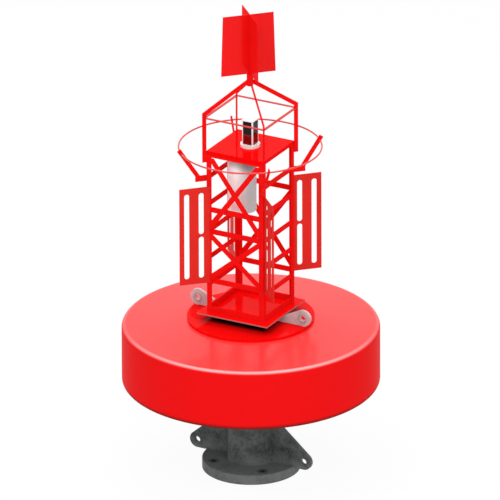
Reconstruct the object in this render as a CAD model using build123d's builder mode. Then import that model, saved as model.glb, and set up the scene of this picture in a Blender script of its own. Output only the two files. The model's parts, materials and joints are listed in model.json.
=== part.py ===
from build123d import *
from math import asin, atan2, cos, hypot, radians, sin, sqrt
import os

# Navigation buoy in millimetres, standing on its bottom flange, +Z up.
# The tower faces lie along X and Y, and its corners on the two diagonals.

# Bottom flange and hub tube
flange_r = 420.0
flange_h = 85.0
flange_edge = 6.0
bolt_circle_r = 335.0
bolt_hole_r = 14.0
bolt_count = 4
hub_r = 200.0
hub_wall = 12.0

# Mooring fins
fin_t = 30.0
fin_top = 509.0
eye_x = 515.0
eye_z = 143.0
eye_r = 73.0
eye_hole_r = 27.0

# Float
float_r = 1100.0
float_z = 795.0
float_side_h = 531.0
float_edge_r = 38.0
float_edge_steps = 2
float_crown_h = 42.0
float_bore_gap = 3.0
clamp_r = 543.0
clamp_t = 20.0
deck_t = 25.0
steel_gap = 0.3

# Lifting lugs
lug_t = 28.0
lug_eye_x = 507.0
lug_eye_r = 72.0
lug_hole_r = 25.0

# Tower
plate_w = 680.0
plate_t = 12.0
plate_lift = 70.0
tower_h = 1475.0
tower_w = 547.0
post_leg_w = 46.0
post_t = 6.0
bar_t = 6.0
base_rail_h = 52.0
rail_w = 48.0
rung_count = 5
brace_w = 46.0
brace_gap = 2.0
front_low_rail = 290.0
front_mid_rail = 740.0
front_shelf_rail = 940.0
back_low_rail = 290.0
back_high_rail = 1041.0
top_rail_w = 24.0

# Lantern platform, battery canister and lantern
tray_rim_h = 33.0
tray_t = 6.0
canister_r = 123.0
canister_h = 553.0
canister_x = -42.0
canister_y = -70.0
lantern_base_r = 84.0
lantern_base_h = 24.0
lantern_w = 104.0
lantern_h = 214.0
lantern_post_edge = 5.0
panel_w = 82.0
panel_margin = 3.0
panel_t = 4.0
cap_w = 110.0
cap_h = 14.0
cap_edge = 5.0

# Cage over the lantern
cage_bar_t = 6.0
cage_bar_w = 36.0
cage_foot_h = 104.0
cage_shoulder_h = 344.0
cage_slope_deg = 33.5
cage_frame_w = 26.0
cage_frame_t = 5.0
cage_frame_h = 298.0

# Guard ring and its arms
ring_r = 607.0
ring_drop = 5.0
ring_rod_r = 7.5
ring_rod_sides = 6
ring_hole_gap = 0.4
arm_t = 8.0
arm_w = 38.0
arm_foot_w = 53.0
arm_heel_w = 36.0
arm_drop = 249.5
arm_slope_deg = 57.0
arm_top_rise = 28.0

# Corner vanes
vane_t = 8.0
vane_w = 245.0
vane_rise = 273.0
vane_arm_gap = 43.0
vane_outer_margin = 41.0
vane_inner_margin = 30.0
vane_slot_w = 46.0
vane_slot_end = 50.0
vane_bridge = 22.0

# Topmark
stem_r = 28.0
stem_drop = 10.0
stem_h = 107.0
topmark_t = 6.0
topmark_h = 538.0
topmark_bottom_w = 479.0
topmark_top_w = 446.0
topmark_shift = 14.0

# Levels and radii worked out from the sizes above
float_top = float_z + float_side_h
deck_z = float_top + float_crown_h
deck_top = deck_z + deck_t
plate_z = deck_top + plate_lift
tower_z = plate_z + plate_t
platform_top = tower_z + tower_h
post_top = platform_top - tray_rim_h
plate_half = plate_w / 2
post_half = tower_w / 2
corner_r = hypot(post_half, post_half)
post_inner = post_half - post_t
frame_inner = post_inner - bar_t
lug_eye_z = deck_top + lug_eye_r
ring_z = platform_top - ring_drop
arm_z = ring_z - arm_drop
leg_middle = post_leg_w / 2 / sqrt(2)

corners = {"left": 225, "front": 315, "right": 45, "back": 135}
sides = {"left": 180, "right": 0}


def save(part, name):
    """Give a finished piece its name and write it."""
    part.label = name
    export_step(part, f"parts/{name}.step")


def radial_plane(angle, aside=0.0):
    """Upright plane at an angle: x runs outward, y runs up; aside moves it clockwise off the axis."""
    outward = Vector(cos(radians(angle)), sin(radians(angle)), 0)
    clockwise = outward.cross(Vector(0, 0, 1))
    return Plane(origin=clockwise * aside, x_dir=outward, z_dir=clockwise)


def upper_tangent(px, pz, cx, cz, r):
    """Point where the line from (px, pz) touches the upper side of a circle."""
    reach = hypot(cx - px, cz - pz)
    run = sqrt(reach * reach - r * r)
    angle = atan2(cz - pz, cx - px) + asin(r / reach)
    return px + run * cos(angle), pz + run * sin(angle)


def strip(p, q, width):
    """Corner points of a straight bar of the given width from p to q."""
    length = hypot(q[0] - p[0], q[1] - p[1])
    ox = -(q[1] - p[1]) / length * width / 2
    oz = (q[0] - p[0]) / length * width / 2
    return [(p[0] + ox, p[1] + oz), (p[0] - ox, p[1] - oz), (q[0] - ox, q[1] - oz), (q[0] + ox, q[1] + oz)]


os.makedirs("parts", exist_ok=True)

# Bottom flange: a thick disc with bolt holes, closed in the middle
with BuildPart() as base_flange:
    Cylinder(flange_r, flange_h, align=(Align.CENTER, Align.CENTER, Align.MIN))
    chamfer(base_flange.edges().group_by(Axis.Z)[-1], flange_edge)
    with BuildSketch(Plane.XY):
        with PolarLocations(bolt_circle_r, bolt_count, start_angle=45):
            Circle(bolt_hole_r)
    extrude(amount=flange_h, mode=Mode.SUBTRACT)
save(base_flange.part, "base_flange")

# Hub tube: runs from the flange through the float and carries the tower
with BuildPart() as hub_tube:
    with BuildSketch(Plane.XY.offset(flange_h)):
        Circle(hub_r)
        Circle(hub_r - hub_wall, mode=Mode.SUBTRACT)
    extrude(amount=plate_z - flange_h)
save(hub_tube.part, "hub_tube")

# Mooring fins: gusset plates on the flange, each with a shackle eye past the flange's edge
for side, angle in sides.items():
    touch = upper_tangent(hub_r, fin_top, eye_x, eye_z, eye_r)
    with BuildPart() as mooring_fin:
        with BuildSketch(radial_plane(angle)):
            with BuildLine():
                Polyline(
                    (hub_r, flange_h),
                    (flange_r + steel_gap, flange_h),
                    (flange_r + steel_gap, eye_z - eye_r),
                    (eye_x, eye_z - eye_r),
                    (eye_x, eye_z),
                    touch,
                    (hub_r, fin_top),
                    close=True,
                )
            make_face()
            with Locations((eye_x, eye_z)):
                Circle(eye_r)
                Circle(eye_hole_r, mode=Mode.SUBTRACT)
        extrude(amount=fin_t / 2, both=True)
    save(mooring_fin.part, f"mooring_fin_{side}")

# Clamp ring: welded to the hub under the float, which rests on it
with BuildPart() as clamp_ring:
    with BuildSketch(Plane.XY.offset(float_z - clamp_t)):
        Circle(clamp_r)
        Circle(hub_r + steel_gap, mode=Mode.SUBTRACT)
    extrude(amount=clamp_t)
save(clamp_ring.part, "clamp_ring")

# Float: a moulded drum with a slightly coned top; its round edges are bands of equal turn
edge_x = float_r - float_edge_r
half_edge = [
    (edge_x + float_edge_r * cos(turn), float_edge_r * sin(turn))
    for turn in (radians(90 * step / float_edge_steps) for step in range(float_edge_steps + 1))
]
with BuildPart() as float_body:
    with BuildSketch(Plane.XZ):
        with BuildLine():
            Polyline(
                (hub_r + float_bore_gap, float_z),
                *[(x, float_z + float_edge_r - rise) for x, rise in reversed(half_edge)],
                *[(x, float_top - float_edge_r + rise) for x, rise in half_edge],
                (clamp_r, deck_z),
                (hub_r + float_bore_gap, deck_z),
                close=True,
            )
        make_face()
    revolve(axis=Axis.Z)
save(float_body.part, "float_body")

# Deck disc: the upper clamp plate on top of the float
with BuildPart() as deck_disc:
    with BuildSketch(Plane.XY.offset(deck_z)):
        Circle(clamp_r)
        Circle(hub_r + steel_gap, mode=Mode.SUBTRACT)
    extrude(amount=deck_t)
save(deck_disc.part, "deck_disc")

# Lifting lugs: arms on the deck disc that run in under the tower's base plate
for side, angle in sides.items():
    touch = upper_tangent(plate_half, plate_z, lug_eye_x, lug_eye_z, lug_eye_r)
    with BuildPart() as lifting_lug:
        with BuildSketch(radial_plane(angle)):
            with BuildLine():
                Polyline(
                    (hub_r, deck_top),
                    (lug_eye_x, deck_top),
                    (lug_eye_x, lug_eye_z),
                    touch,
                    (plate_half, plate_z),
                    (hub_r, plate_z),
                    close=True,
                )
            make_face()
            with Locations((lug_eye_x, lug_eye_z)):
                Circle(lug_eye_r)
                Circle(lug_hole_r, mode=Mode.SUBTRACT)
        extrude(amount=lug_t / 2, both=True)
    save(lifting_lug.part, f"lifting_lug_{side}")

# Tower base plate
with BuildPart() as tower_base_plate:
    with BuildSketch(Plane.XY.offset(plate_z)):
        Rectangle(plate_w, plate_w)
    extrude(amount=plate_t)
save(tower_base_plate.part, "tower_base_plate")

# Corner posts: steel angles, heel outward
for corner, angle in corners.items():
    sx = 1 if cos(radians(angle)) > 0 else -1
    sy = 1 if sin(radians(angle)) > 0 else -1
    with BuildPart() as tower_post:
        with BuildSketch(Plane.XY.offset(tower_z)):
            with BuildLine():
                Polyline(
                    (sx * post_half, sy * post_half),
                    (sx * (post_half - post_leg_w), sy * post_half),
                    (sx * (post_half - post_leg_w), sy * post_inner),
                    (sx * post_inner, sy * post_inner),
                    (sx * post_inner, sy * (post_half - post_leg_w)),
                    (sx * post_half, sy * (post_half - post_leg_w)),
                    close=True,
                )
            make_face()
        extrude(amount=post_top - tower_z)
    save(tower_post.part, f"tower_post_{corner}")

# Base rails: flat bars on edge round the foot of the tower, inside the post legs
with BuildPart() as base_rails_long:
    with BuildSketch(Plane.XY.offset(tower_z)):
        with Locations((0, post_inner - bar_t / 2), (0, -post_inner + bar_t / 2)):
            Rectangle(2 * post_inner, bar_t)
    extrude(amount=base_rail_h)
save(base_rails_long.part, "base_rails_long")

with BuildPart() as base_rails_short:
    with BuildSketch(Plane.XY.offset(tower_z)):
        with Locations((post_inner - bar_t / 2, 0), (-post_inner + bar_t / 2, 0)):
            Rectangle(bar_t, 2 * frame_inner)
    extrude(amount=base_rail_h)
save(base_rails_short.part, "base_rails_short")

# Ladder rungs: flat bars on two facing sides, evenly spaced up the tower
rung_pitch = tower_h / (rung_count + 1)
for side, sx in {"left": -1, "right": 1}.items():
    with BuildPart() as ladder_rungs:
        for step in range(1, rung_count + 1):
            with BuildSketch(Plane.XY.offset(tower_z + step * rung_pitch - rail_w / 2)):
                with Locations((sx * (post_inner - bar_t / 2), 0)):
                    Rectangle(bar_t, 2 * frame_inner)
            extrude(amount=rail_w)
    save(ladder_rungs.part, f"ladder_rungs_{side}")

# Face rails: flat bars across the two braced sides, inside the post legs
front_rails = [front_low_rail, front_mid_rail, front_shelf_rail]
back_rails = [back_low_rail, back_high_rail]
for side, sy, heights in (("front", -1, front_rails), ("back", 1, back_rails)):
    with BuildPart() as face_rails:
        for height in heights:
            with BuildSketch(Plane.XY.offset(tower_z + height - rail_w / 2)):
                with Locations((0, sy * (post_inner - bar_t / 2))):
                    Rectangle(2 * post_inner, bar_t)
            extrude(amount=rail_w)
        with BuildSketch(Plane.XY.offset(post_top - top_rail_w)):
            with Locations((0, sy * (post_inner - bar_t / 2))):
                Rectangle(2 * post_inner, bar_t)
        extrude(amount=top_rail_w)
    save(face_rails.part, f"face_rails_{side}")

# Cross braces: flat bars on the outer faces of the posts, clear of the vanes and arms on the same legs;
# one bar is whole and the other in halves
brace_half = post_half - post_leg_w / 2 - max(vane_t, arm_t) / sqrt(2) - brace_gap
front_bays = [(front_low_rail, front_mid_rail), (front_mid_rail, tower_h)]
back_bays = [(back_low_rail, back_high_rail)]
for side, sy, bays in (("front", -1, front_bays), ("back", 1, back_bays)):
    face = Plane(origin=(0, sy * (post_half + bar_t / 2), 0), x_dir=(1, 0, 0), z_dir=(0, -1, 0))
    for name, hand in (("whole", 1), ("split", -1)):
        with BuildPart() as brace:
            for low, high in bays:
                foot = (-post_half, tower_z + low)
                head = (post_half, tower_z + high)
                own_foot = (hand * foot[0], foot[1])
                own_head = (hand * head[0], head[1])
                clip_low = tower_z + low + brace_gap
                clip_high = min(tower_z + high, post_top - top_rail_w) - brace_gap
                with BuildSketch(face):
                    with BuildLine():
                        Polyline(*strip(own_foot, own_head, brace_w), close=True)
                    make_face()
                    with Locations((0, (clip_low + clip_high) / 2)):
                        Rectangle(2 * brace_half, clip_high - clip_low, mode=Mode.INTERSECT)
                    if name == "split":
                        with BuildLine():
                            Polyline(*strip(foot, head, brace_w), close=True)
                        make_face(mode=Mode.SUBTRACT)
                extrude(amount=bar_t / 2, both=True)
        save(brace.part, f"brace_{side}_{name}")

# Lantern platform: a tray turned upside down, whose rim stands on the posts
with BuildPart() as lantern_platform:
    with BuildSketch(Plane.XY.offset(post_top)):
        Rectangle(tower_w, tower_w)
    extrude(amount=tray_rim_h)
    with BuildSketch(Plane.XY.offset(post_top)):
        Rectangle(tower_w - 2 * tray_t, tower_w - 2 * tray_t)
    extrude(amount=tray_rim_h - tray_t, mode=Mode.SUBTRACT)
save(lantern_platform.part, "lantern_platform")

# Battery canister: hangs under the platform
with BuildPart() as battery_canister:
    with BuildSketch(Plane.XY.offset(platform_top - tray_t - canister_h)):
        with Locations((canister_x, canister_y)):
            Circle(canister_r)
    extrude(amount=canister_h)
save(battery_canister.part, "battery_canister")

# Lantern: round foot, square body with a solar panel on each side, and a cap
lantern_z = platform_top + lantern_base_h
with BuildPart() as lantern_base:
    with BuildSketch(Plane.XY.offset(platform_top)):
        Circle(lantern_base_r)
    extrude(amount=lantern_base_h)
save(lantern_base.part, "lantern_base")

panel_h = lantern_h - 2 * panel_margin
with BuildPart() as lantern_body:
    with BuildSketch(Plane.XY.offset(lantern_z)):
        Rectangle(lantern_w, lantern_w)
    extrude(amount=lantern_h)
    fillet(lantern_body.edges().filter_by(Axis.Z), lantern_post_edge)
    with BuildSketch(Plane.XY.offset(lantern_z + panel_margin)):
        with PolarLocations((lantern_w - panel_t) / 2, 4):
            Rectangle(panel_t, panel_w)
    extrude(amount=panel_h, mode=Mode.SUBTRACT)
save(lantern_body.part, "lantern_body")

with BuildPart() as lantern_panels:
    with BuildSketch(Plane.XY.offset(lantern_z + panel_margin)):
        with PolarLocations((lantern_w - panel_t) / 2, 4):
            Rectangle(panel_t, panel_w)
    extrude(amount=panel_h)
save(lantern_panels.part, "lantern_panels")

with BuildPart() as lantern_cap:
    with BuildSketch(Plane.XY.offset(lantern_z + lantern_h)):
        Rectangle(cap_w, cap_w)
    extrude(amount=cap_h)
    chamfer(lantern_cap.edges().group_by(Axis.Z)[-1], cap_edge)
save(lantern_cap.part, "lantern_cap")

# Cage bars: flat bars on the posts' corners that lean in to the stem over the lantern
bar_outer = corner_r + cage_bar_w
shoulder_z = platform_top + cage_shoulder_h
rise = sin(radians(cage_slope_deg)) / cos(radians(cage_slope_deg))
lean_h = cage_bar_w / cos(radians(cage_slope_deg))
stem_face_z = shoulder_z + (bar_outer - stem_r) * rise
inner_shoulder_z = stem_face_z - lean_h - (corner_r - stem_r) * rise
for corner, angle in corners.items():
    with BuildPart() as cage_bar:
        with BuildSketch(radial_plane(angle)):
            with BuildLine():
                Polyline(
                    (corner_r, platform_top - cage_foot_h),
                    (bar_outer, platform_top - cage_foot_h),
                    (bar_outer, shoulder_z),
                    (stem_r, stem_face_z),
                    (stem_r, stem_face_z - lean_h),
                    (corner_r, inner_shoulder_z),
                    close=True,
                )
            make_face()
        extrude(amount=cage_bar_t / 2, both=True)
    save(cage_bar.part, f"cage_bar_{corner}")

# Cage rods: four flat bars that lie level and join the cage bars as a square
frame_reach = (corner_r + cage_bar_w / 2) / sqrt(2)
frame_outer = 2 * frame_reach + cage_frame_w
frame_hole = 2 * frame_reach - cage_frame_w
with BuildPart() as cage_rods:
    with BuildSketch(Plane.XY.offset(platform_top + cage_frame_h)):
        Rectangle(frame_outer, frame_outer)
        Rectangle(frame_hole, frame_hole, mode=Mode.SUBTRACT)
        for diagonal in (45, -45):
            Rectangle(2 * frame_outer, cage_bar_t, rotation=diagonal, mode=Mode.SUBTRACT)
    extrude(amount=cage_frame_t)
save(cage_rods.part, "cage_rods")

# Guard ring: a rod of six flats carried through the tips of the four arms
with BuildPart() as guard_ring:
    with BuildSketch(Plane.XZ):
        with Locations((ring_r, ring_z)):
            RegularPolygon(ring_rod_r, ring_rod_sides, rotation=180 / ring_rod_sides)
    revolve(axis=Axis.Z)
save(guard_ring.part, "guard_ring")

# Ring arms: a level bar on one leg of each post, then a bar that slopes up and out to the ring
ring_reach = sqrt(ring_r * ring_r - leg_middle * leg_middle)
arm_run = cos(radians(arm_slope_deg)) / sin(radians(arm_slope_deg))
arm_foot = (ring_reach - arm_drop * arm_run, arm_z)
arm_heel = (arm_foot[0] + arm_heel_w, arm_z)
arm_top = (ring_reach + arm_top_rise * arm_run, ring_z + arm_top_rise)
arm_start = corner_r - leg_middle - arm_t
for corner, angle in corners.items():
    with BuildPart() as ring_arm:
        with BuildSketch(radial_plane(angle, leg_middle)):
            with BuildLine():
                Polyline(*strip((arm_start, arm_z), arm_heel, arm_foot_w), close=True)
            make_face()
            with BuildLine():
                Polyline(*strip(arm_foot, arm_top, arm_w), close=True)
            make_face()
            with Locations((ring_reach, ring_z)):
                Circle(ring_rod_r + ring_hole_gap, mode=Mode.SUBTRACT)
        extrude(amount=arm_t / 2, both=True)
        with BuildSketch(Plane.XY):
            Rectangle(tower_w, tower_w)
        extrude(amount=platform_top, mode=Mode.SUBTRACT)
    save(ring_arm.part, f"ring_arm_{corner}")

# Corner vanes: upright plates on the other leg of each post, with one long slot and, nearer the
# post, one slot in two halves
vane_z = tower_z + vane_rise
vane_h = arm_z - arm_foot_w / 2 - vane_arm_gap - vane_z
vane_start = corner_r - leg_middle - vane_t
vane_end = corner_r + vane_w
slot_h = vane_h - 2 * vane_slot_end
outer_slot_x = vane_end - vane_outer_margin - vane_slot_w / 2
inner_slot_x = corner_r + vane_inner_margin + vane_slot_w / 2
half_slot_h = (slot_h - vane_bridge) / 2
for corner, angle in corners.items():
    with BuildPart() as vane:
        with BuildSketch(radial_plane(angle, -leg_middle)):
            with Locations(((vane_start + vane_end) / 2, vane_z + vane_h / 2)):
                Rectangle(vane_end - vane_start, vane_h)
            with Locations((outer_slot_x, vane_z + vane_h / 2)):
                SlotOverall(slot_h, vane_slot_w, rotation=90, mode=Mode.SUBTRACT)
            for half in (-1, 1):
                with Locations((inner_slot_x, vane_z + vane_h / 2 + half * (vane_bridge + half_slot_h) / 2)):
                    SlotOverall(half_slot_h, vane_slot_w, rotation=90, mode=Mode.SUBTRACT)
        extrude(amount=vane_t / 2, both=True)
        with BuildSketch(Plane.XY):
            Rectangle(tower_w, tower_w)
        extrude(amount=platform_top, mode=Mode.SUBTRACT)
    save(vane.part, f"vane_{corner}")

# Topmark: a short stem and two upright plates that cross on it
stem_z = stem_face_z - lean_h - stem_drop
topmark_z = stem_z + stem_h
with BuildPart() as topmark_stem:
    with BuildSketch(Plane.XY.offset(stem_z)):
        Circle(stem_r)
    extrude(amount=stem_h)
save(topmark_stem.part, "topmark_stem")

with BuildPart() as topmark_plate:
    with BuildSketch(radial_plane(corners["right"])):
        with BuildLine():
            Polyline(
                (-topmark_bottom_w / 2 - topmark_shift, topmark_z),
                (topmark_bottom_w / 2 - topmark_shift, topmark_z),
                (topmark_top_w / 2 - topmark_shift, topmark_z + topmark_h),
                (-topmark_top_w / 2 - topmark_shift, topmark_z + topmark_h),
                close=True,
            )
        make_face()
    extrude(amount=topmark_t / 2, both=True)
save(topmark_plate.part, "topmark_plate")

for corner in ("front", "back"):
    with BuildPart() as topmark_wing:
        with BuildSketch(radial_plane(corners[corner])):
            with BuildLine():
                Polyline(
                    (topmark_t / 2, topmark_z),
                    (topmark_bottom_w / 2, topmark_z),
                    (topmark_top_w / 2, topmark_z + topmark_h),
                    (topmark_t / 2, topmark_z + topmark_h),
                    close=True,
                )
            make_face()
        extrude(amount=topmark_t / 2, both=True)
    save(topmark_wing.part, f"topmark_wing_{corner}")
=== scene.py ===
"""Navigation buoy on a plain studio floor: finishes, small fittings, light and camera.

Sizes and heights are in metres, angles in degrees, and colours in linear light.
"""

import json
import logging
import math
from dataclasses import dataclass, field
from enum import Enum
from typing import Any

import bmesh
import bpy
import numpy as np
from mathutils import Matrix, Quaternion, Vector


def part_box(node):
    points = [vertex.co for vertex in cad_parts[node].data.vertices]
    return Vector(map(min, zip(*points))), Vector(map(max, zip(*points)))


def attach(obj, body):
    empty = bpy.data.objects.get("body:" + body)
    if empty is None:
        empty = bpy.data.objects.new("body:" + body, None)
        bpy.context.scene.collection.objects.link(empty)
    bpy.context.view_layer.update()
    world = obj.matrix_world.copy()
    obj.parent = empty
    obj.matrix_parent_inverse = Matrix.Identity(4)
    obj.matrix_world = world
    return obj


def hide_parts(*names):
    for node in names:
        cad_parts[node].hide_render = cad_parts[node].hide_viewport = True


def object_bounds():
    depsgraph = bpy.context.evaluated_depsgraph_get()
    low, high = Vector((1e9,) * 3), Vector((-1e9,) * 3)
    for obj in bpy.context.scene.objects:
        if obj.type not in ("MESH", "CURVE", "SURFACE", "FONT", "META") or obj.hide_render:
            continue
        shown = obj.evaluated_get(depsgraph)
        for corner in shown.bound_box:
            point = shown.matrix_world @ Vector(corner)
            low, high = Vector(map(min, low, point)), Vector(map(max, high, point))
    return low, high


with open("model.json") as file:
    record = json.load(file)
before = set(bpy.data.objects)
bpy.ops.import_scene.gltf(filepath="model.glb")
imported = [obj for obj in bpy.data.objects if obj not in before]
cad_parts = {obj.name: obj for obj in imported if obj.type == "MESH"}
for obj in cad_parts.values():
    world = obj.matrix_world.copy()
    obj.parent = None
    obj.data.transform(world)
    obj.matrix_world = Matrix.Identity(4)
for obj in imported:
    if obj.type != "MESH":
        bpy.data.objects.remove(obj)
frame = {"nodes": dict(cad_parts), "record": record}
CAD_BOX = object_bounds()

LOG = logging.getLogger("buoy")
BODY = "root"
WHITE = (1.0, 1.0, 1.0, 1.0)
# Faces that meet at less than this angle, in degrees, are shaded as one smooth surface.
SMOOTH_ANGLE = 40.0
# Middles of the eyes on the positive X side: distance from the axis and height, in metres.
LIFT_EYE = (0.507, 1.465)
MOOR_EYE = (0.515, 0.143)
# Level directions, as X and Y shares: towards the side that faces the camera, and to its right.
FRONT = (0.48, -0.88)
RIGHT = (0.88, 0.48)

Colour = tuple[float, float, float]


class Slot(Enum):
    """The record's material slots."""

    STEEL = "weathered_steel"
    RED = "red_paint"
    FLOAT = "red_float"
    VANE = "vane_red"
    LUG = "lug_steel"
    CANISTER = "canister_white"
    LANTERN = "lantern_white"
    SOLAR = "solar_black"


class Socket:
    """A shader value that takes part in Python expressions."""

    def __init__(self, graph: "Graph", out: bpy.types.NodeSocket | None) -> None:
        """Keeps the graph and the output socket, which an end node doesn't have."""
        self.graph = graph
        self.out = out

    def __add__(self, other: Any) -> "Socket":
        """Sum of two values."""
        return self.graph.math("ADD", self, other)

    def __radd__(self, other: Any) -> "Socket":
        """Sum with the value on the right."""
        return self.graph.math("ADD", other, self)

    def __sub__(self, other: Any) -> "Socket":
        """Difference of two values."""
        return self.graph.math("SUBTRACT", self, other)

    def __rsub__(self, other: Any) -> "Socket":
        """Difference with the value on the right."""
        return self.graph.math("SUBTRACT", other, self)

    def __mul__(self, other: Any) -> "Socket":
        """Product of two values."""
        return self.graph.math("MULTIPLY", self, other)

    def __rmul__(self, other: Any) -> "Socket":
        """Product with the value on the right."""
        return self.graph.math("MULTIPLY", other, self)

    def __truediv__(self, other: Any) -> "Socket":
        """Quotient of two values."""
        return self.graph.math("DIVIDE", self, other)

    def __rtruediv__(self, other: Any) -> "Socket":
        """Quotient with the value on the right."""
        return self.graph.math("DIVIDE", other, self)

    def __pow__(self, other: Any) -> "Socket":
        """Power of a value."""
        return self.graph.math("POWER", self, other)

    def __abs__(self) -> "Socket":
        """Size of a value without its sign."""
        return self.graph.math("ABSOLUTE", self)

    def __gt__(self, other: Any) -> "Socket":
        """1 where the value is the larger, else 0."""
        return self.graph.math("GREATER_THAN", self, other)

    def __lt__(self, other: Any) -> "Socket":
        """1 where the value is the smaller, else 0."""
        return self.graph.math("LESS_THAN", self, other)


class Graph:
    """The node graph of one material or world."""

    def __init__(self, owner: Any) -> None:
        """Starts an empty graph on a material or a world.

        Args:
            owner: the material or world that gets the nodes.
        """
        owner.use_nodes = True
        self.tree = owner.node_tree
        self.tree.nodes.clear()

    def node(self, kind: str, settings: dict[str, Any] | None = None,
             inputs: dict[Any, Any] | None = None, output: Any = 0) -> Socket:
        """Adds a node, sets it and feeds its sockets.

        Args:
            kind: the node's type.
            settings: attributes of the node, set before its sockets.
            inputs: socket name or number to a value or a Socket.
            output: name or number of the output that is returned.

        Returns:
            The chosen output.
        """
        node = self.tree.nodes.new(kind)
        for name, value in (settings or {}).items():
            setattr(node, name, value)
        for name, value in (inputs or {}).items():
            if isinstance(value, Socket):
                self.tree.links.new(value.out, node.inputs[name])
            else:
                node.inputs[name].default_value = value
        return Socket(self, node.outputs[output] if node.outputs else None)

    def math(self, operation: str, a: Any, b: Any = 0.0) -> Socket:
        """Adds a Math node for one or two numbers or Sockets and returns its result."""
        return self.node("ShaderNodeMath", {"operation": operation}, {0: a, 1: b})

    def span(self, value: Socket, low: float, high: float,
             to_low: float = 0.0, to_high: float = 1.0) -> Socket:
        """Maps a value from low..high to to_low..to_high, and holds it between them."""
        ends = {"From Min": low, "From Max": high, "To Min": to_low, "To Max": to_high}
        return self.node("ShaderNodeMapRange", {"clamp": True}, {"Value": value, **ends})

    def blend(self, factor: Any, a: Any, b: Any) -> Socket:
        """Mixes two colours or Sockets: factor 0 gives a, and 1 gives b."""
        first, second = (c if isinstance(c, Socket) else (*c, 1.0) for c in (a, b))
        return self.node("ShaderNodeMix", {"data_type": "RGBA"}, {0: factor, 6: first, 7: second}, 2)

    def place(self) -> Socket:
        """Object coordinates, in metres."""
        return self.node("ShaderNodeTexCoord", output="Object")

    def axis(self, name: str) -> Socket:
        """One of the Object coordinates, in metres."""
        return self.node("ShaderNodeSeparateXYZ", {}, {0: self.place()}, name)

    def height(self) -> Socket:
        """Height above the floor, in metres."""
        return self.axis("Z")

    def along(self, direction: tuple[float, float]) -> Socket:
        """Distance from the middle in a level direction, in metres."""
        return self.axis("X") * direction[0] + self.axis("Y") * direction[1]

    def square_reach(self) -> Socket:
        """Half the side of the square round the axis that a point lies on, in metres."""
        return self.math("MAXIMUM", abs(self.axis("X")), abs(self.axis("Y")))

    @staticmethod
    def distance(a: Socket, b: Socket) -> Socket:
        """Distance from its two parts at right angles: the root of a squared plus b squared."""
        return (a * a + b * b) ** 0.5

    def normal(self, name: str) -> Socket:
        """One part of the surface's own normal. Z is 1 where it looks straight up, -1 straight down."""
        normal = self.node("ShaderNodeNewGeometry", output="True Normal")
        return self.node("ShaderNodeSeparateXYZ", {}, {0: normal}, name)

    def noise(self, scale: float, detail: float = 2.0, rough: float = 0.5,
              where: Socket | None = None) -> Socket:
        """Noise between 0 and 1, by lumps per metre, number of finer layers and their weight."""
        inputs = {"Vector": where or self.place(), "Scale": scale, "Detail": detail, "Roughness": rough}
        return self.node("ShaderNodeTexNoise", {"noise_dimensions": "3D"}, inputs)

    def bump(self, height: Socket, depth: float, strength: float = 1.0) -> Socket:
        """Turns a relief between 0 and 1, of a given depth in metres, into a normal."""
        inputs = {"Height": height, "Distance": depth, "Strength": strength}
        return self.node("ShaderNodeBump", {}, inputs, "Normal")

    def surface(self, **sockets: Any) -> None:
        """Ends the graph in a Principled shader.

        Args:
            sockets: socket names, with _ for a space, to values or Sockets.
        """
        named = {name.replace("_", " "): value for name, value in sockets.items()}
        shader = self.node("ShaderNodeBsdfPrincipled", {}, named)
        self.node("ShaderNodeOutputMaterial", {}, {"Surface": shader})


@dataclass(frozen=True)
class Finish:
    """A finish whose lay() method fills a material's graph."""

    name: str

    def build(self) -> bpy.types.Material:
        """Makes the material.

        Returns:
            The material, under the finish's name.
        """
        material = bpy.data.materials.new(self.name)
        self.lay(Graph(material))
        return material

    def lay(self, g: Graph) -> None:
        """Fills the graph. Each finish has its own way."""
        raise NotImplementedError


@dataclass(frozen=True)
class GlossPaint(Finish):
    """Sprayed gloss paint on welded steel: cloudy tone, orange peel, dust and a rain-washed shine."""

    colour: Colour
    shade: Colour
    roughness: float = 0.10
    gloss: float = 0.012
    wash: float = 0.03
    wash_roughness: float = 0.06
    dust_roughness: float = 0.08
    cloud_scale: float = 3.0
    dust_scale: float = 22.0
    peel_scale: float = 260.0
    peel: float = 0.00006

    def lay(self, g: Graph) -> None:
        """Puts dust, shine and orange peel over the paint's colour.

        Args:
            g: the material's graph.
        """
        dust = g.span(g.noise(self.dust_scale, 4.0, 0.6), 0.52, 0.75)
        g.surface(
            Base_Color=self.tone(g),
            Roughness=self.roughness + dust * self.dust_roughness,
            Specular_IOR_Level=self.gloss,
            Coat_Weight=g.span(g.normal("Z"), 0.4, 0.95) * self.wash,
            Coat_Roughness=self.wash_roughness,
            Normal=g.bump(g.noise(self.peel_scale, 1.0), self.peel),
        )

    def tone(self, g: Graph) -> Socket:
        """The paint's cloudy colour."""
        clouds = g.span(g.noise(self.cloud_scale, 3.0), 0.35, 0.7)
        return g.blend(clouds, self.colour, self.shade)


@dataclass(frozen=True)
class PlatePaint(GlossPaint):
    """Gloss paint on a plate whose pale cut edges are bare zinc that also stands in for their highlight, and
    whose underside is painted dark as shade.
    """

    # Pale edge colour: bare zinc, and a painted highlight along the edge.
    edge: Colour = (0.50, 0.17, 0.16)
    # Dark underside colour: painted shade under the plate.
    underside_shade: Colour = (0.05, 0.012, 0.012)
    margin: float = 0.0004

    def tone(self, g: Graph) -> Socket:
        """The paint's colour, with the pale edges, partly a painted highlight, and the underside painted
        dark as shade.

        Args:
            g: the material's graph.

        Returns:
            The colour.
        """
        low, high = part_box("tower_base_plate")
        # The edge mask: bare zinc and painted highlight.
        bare_lit_edge = g.square_reach() > high.x - self.margin
        below = g.height() < low.z + self.margin
        return g.blend(below, g.blend(bare_lit_edge, super().tone(g), self.edge), self.underside_shade)


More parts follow.
